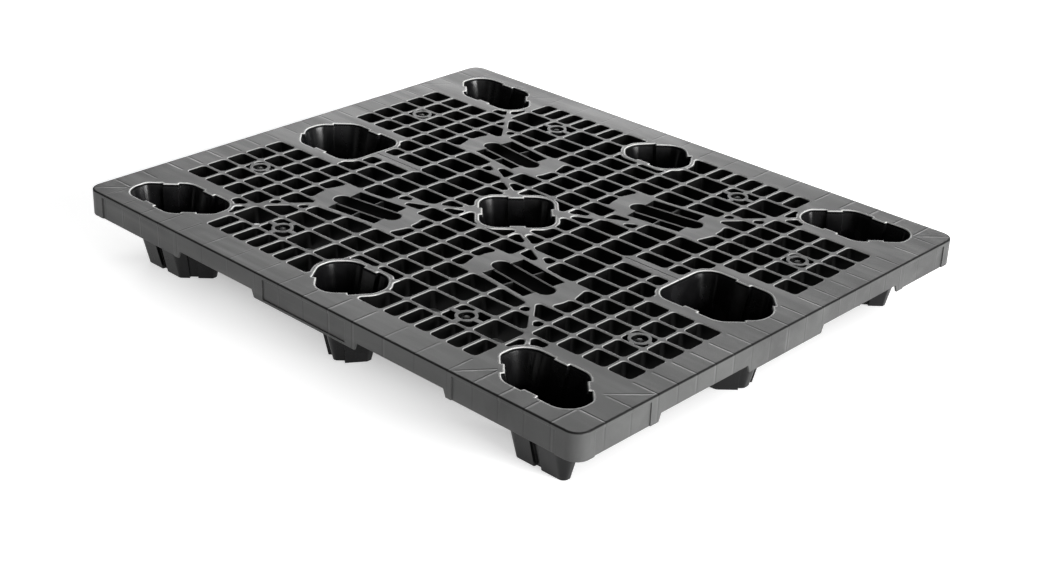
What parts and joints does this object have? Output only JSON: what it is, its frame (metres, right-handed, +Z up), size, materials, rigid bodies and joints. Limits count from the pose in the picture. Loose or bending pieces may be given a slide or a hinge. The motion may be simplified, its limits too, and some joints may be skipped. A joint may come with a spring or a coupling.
{
  "type": "plastic pallet",
  "caption": "Nestable plastic pallet: an open ribbed deck on separate tapered cup legs, with forks entering from every side and rubber grip plugs in the deck.",
  "frame": {"origin": "on the ground under the middle of the deck", "axes": "+Z up, +X along the long side, +Y along the short side towards the rear"},
  "size_m": [1.2192, 1.016, 0.143],
  "materials": {
    "deck_plastic": "moulded dark grey, lightly textured",
    "leg_plastic": "moulded black, satin to glossy",
    "grip_rubber": "moulded black rubber"
  },
  "bodies": {
    "root": {"deck": "deck_plastic", "leg_centre": "leg_plastic", "leg_side_front": "leg_plastic", "leg_side_rear": "leg_plastic", "leg_end_left": "leg_plastic", "leg_end_right": "leg_plastic", "leg_corner_front_left": "leg_plastic", "leg_corner_front_right": "leg_plastic", "leg_corner_rear_left": "leg_plastic", "leg_corner_rear_right": "leg_plastic", "grip_plug_1": "grip_rubber", "grip_plug_2": "grip_rubber", "grip_plug_3": "grip_rubber", "grip_plug_4": "grip_rubber", "grip_plug_5": "grip_rubber", "grip_plug_6": "grip_rubber", "grip_plug_7": "grip_rubber", "grip_plug_8": "grip_rubber"}
  },
  "joints": []
}
